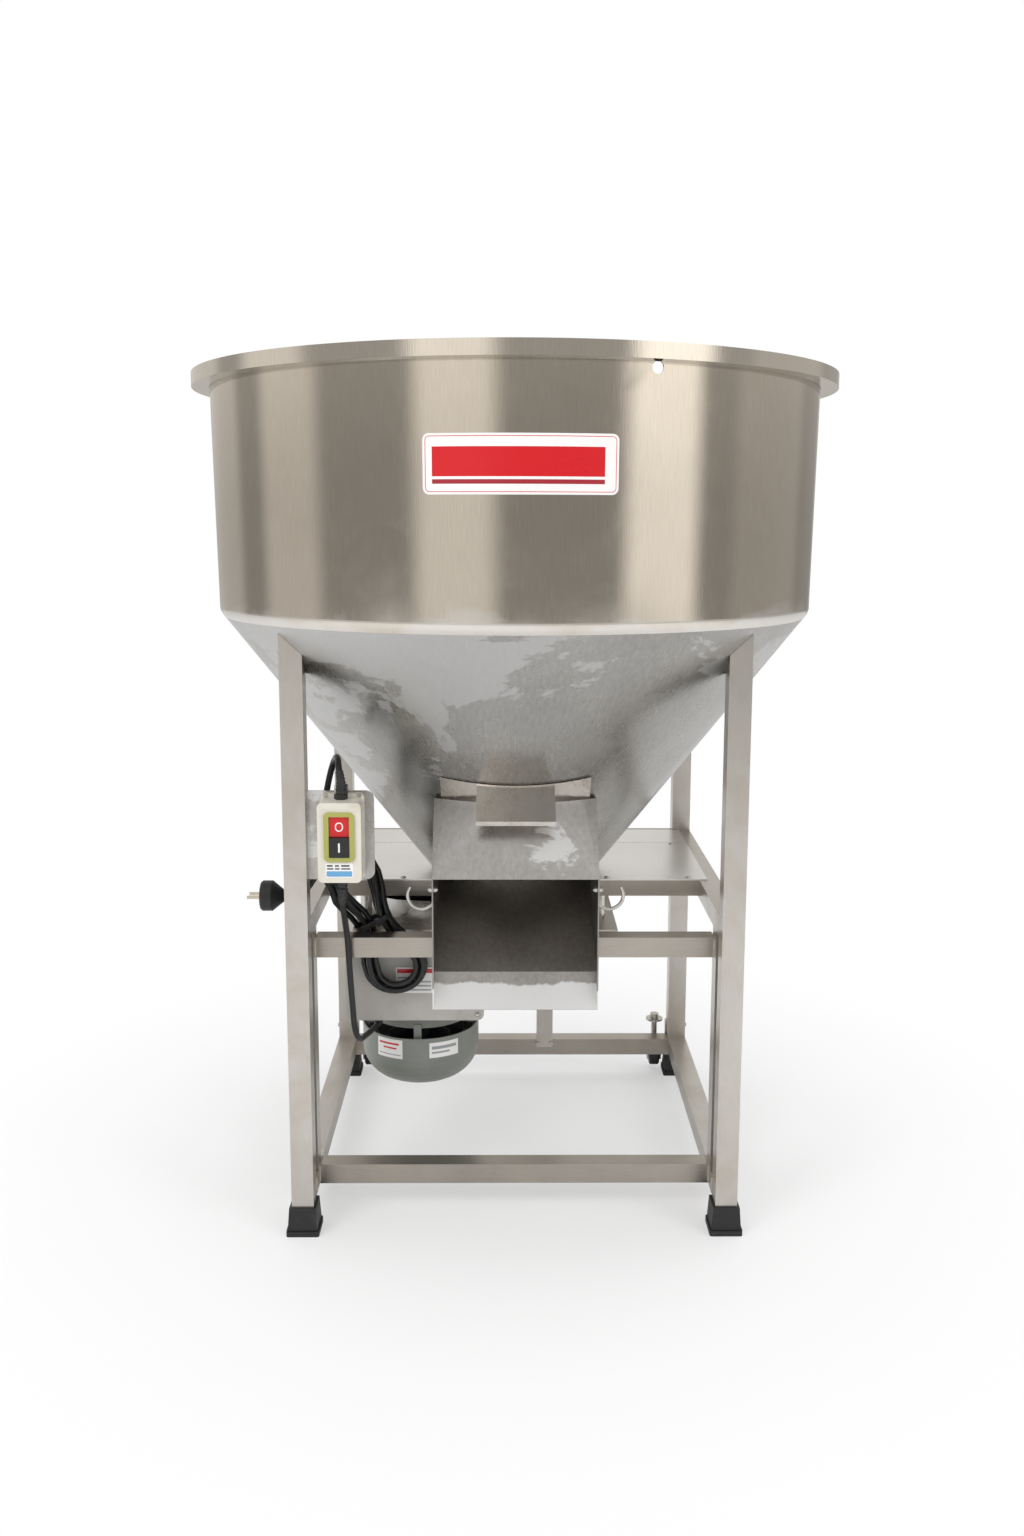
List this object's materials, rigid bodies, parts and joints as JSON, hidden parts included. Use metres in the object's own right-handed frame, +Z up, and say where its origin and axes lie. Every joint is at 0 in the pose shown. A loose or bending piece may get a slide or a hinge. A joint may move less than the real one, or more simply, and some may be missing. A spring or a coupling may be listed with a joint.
{
  "type": "vertical feed mixer",
  "caption": "Open stainless tub and cone with a belt-driven vertical auger on a square-tube frame, with a gated outlet chute, push-button switch and corded plug.",
  "frame": {"origin": "on the floor under the tub's axis, at the level of the rubber feet's undersides", "axes": "+Z up along the tub's axis; +Y to the rear, away from the chute; +X to the right of someone who faces the chute"},
  "size_m": [0.9759, 0.976, 1.246],
  "materials": {
    "polished_steel": "polished stainless sheet",
    "tub_steel": "cold-rolled stainless sheet, warm grey",
    "cone_steel": "rolled stainless sheet with grinding marks",
    "frame_steel": "brushed stainless square tube",
    "deck_steel": "pale stainless sheet",
    "sheet_steel": "folded stainless sheet",
    "hook_steel": "bright wire and fasteners",
    "shaft_steel": "turned steel",
    "boot_rubber": "matt black rubber",
    "cord_rubber": "black rubber sheath, slight sheen",
    "plug_rubber": "moulded black rubber",
    "belt_rubber": "belt rubber",
    "wheel_rubber": "dark caster wheel",
    "box_plastic": "cream plastic",
    "bezel_plastic": "olive plastic",
    "stop_plastic": "red plastic",
    "start_plastic": "black plastic",
    "gland_plastic": "black plastic",
    "fan_plastic": "black plastic",
    "terminal_plastic": "grey-beige plastic",
    "motor_paint": "grey-green paint",
    "cowl_paint": "grey-green paint, satin",
    "pulley_iron": "dark iron",
    "bearing_iron": "dark iron",
    "pin_metal": "plated round pins"
  },
  "bodies": {
    "frame": {"rim_ring": "polished_steel", "tub_wall": "tub_steel", "tub_cone": "cone_steel", "tub_floor": "tub_steel", "leg_front_left": "frame_steel", "leg_front_right": "frame_steel", "leg_rear_left": "frame_steel", "leg_rear_right": "frame_steel", "rubber_feet": "boot_rubber", "lower_front_rail": "frame_steel", "lower_rear_rail": "frame_steel", "lower_left_rail": "frame_steel", "lower_right_rail": "frame_steel", "left_post": "frame_steel", "right_post": "frame_steel", "middle_front_rail": "frame_steel", "deck_left_rail": "frame_steel", "deck_right_rail": "frame_steel", "deck_front_rail": "frame_steel", "deck_rear_rail": "frame_steel", "deck_plates": "deck_steel", "chute_body": "sheet_steel", "chute_hood": "sheet_steel", "bag_hooks": "hook_steel", "switch_plate": "sheet_steel", "switch_base": "box_plastic", "switch_cover": "box_plastic", "switch_bezel": "bezel_plastic", "switch_screws": "hook_steel", "cord_glands": "gland_plastic", "power_cord": "cord_rubber", "cord_hank": "cord_rubber", "plug_cord": "cord_rubber", "plug_body": "plug_rubber", "plug_pins": "pin_metal", "motor_lead": "cord_rubber", "motor_body": "motor_paint", "motor_shields": "motor_paint", "fan_cover": "cowl_paint", "terminal_box": "terminal_plastic", "terminal_lid": "terminal_plastic", "motor_plate": "frame_steel", "plate_hangers": "hook_steel", "drive_belt": "belt_rubber", "belt_guard": "sheet_steel", "shaft_bearings": "bearing_iron", "rear_brace": "frame_steel", "caster_brackets": "hook_steel"},
    "auger": {"auger_pulley": "pulley_iron", "auger_shaft": "shaft_steel", "auger_flight": "tub_steel", "auger_paddles": "shaft_steel"},
    "rotor": {"motor_shaft": "shaft_steel", "motor_pulley": "pulley_iron", "motor_fan": "fan_plastic"},
    "gate": {"gate_plate": "sheet_steel"},
    "stop": {"stop_button": "stop_plastic"},
    "start": {"start_button": "start_plastic"},
    "wheel_left": {"caster_wheel_left": "wheel_rubber"},
    "wheel_right": {"caster_wheel_right": "wheel_rubber"}
  },
  "joints": [
    {"name": "auger_spin", "type": "hinge", "parent": "frame", "child": "auger", "pos_m": [0, 0, 0.45], "axis": [0, 0, 1], "continuous": true},
    {"name": "motor_spin", "type": "hinge", "parent": "frame", "child": "rotor", "pos_m": [-0.153, -0.015, 0.4], "axis": [0, 0, 1], "continuous": true},
    {"name": "gate_slide", "type": "slide", "parent": "frame", "child": "gate", "axis": [0, -0.664, 0.7478], "range_m": [0, 0.09]},
    {"name": "start_press", "type": "slide", "parent": "frame", "child": "start", "axis": [0, 1, 0], "range_m": [0, 0.004]},
    {"name": "stop_press", "type": "slide", "parent": "frame", "child": "stop", "axis": [0, 1, 0], "range_m": [-0.004, 0]},
    {"name": "caster_left_spin", "type": "hinge", "parent": "frame", "child": "wheel_left", "pos_m": [-0.271, 0.304, 0.026], "axis": [1, 0, 0], "continuous": true},
    {"name": "caster_right_spin", "type": "hinge", "parent": "frame", "child": "wheel_right", "pos_m": [0.271, 0.304, 0.026], "axis": [1, 0, 0], "continuous": true}
  ],
  "couplings": [
    {"joint": "motor_spin", "follows": "auger_spin", "ratio": 2.8824},
    {"joint": "stop_press", "follows": "start_press", "ratio": -1}
  ]
}
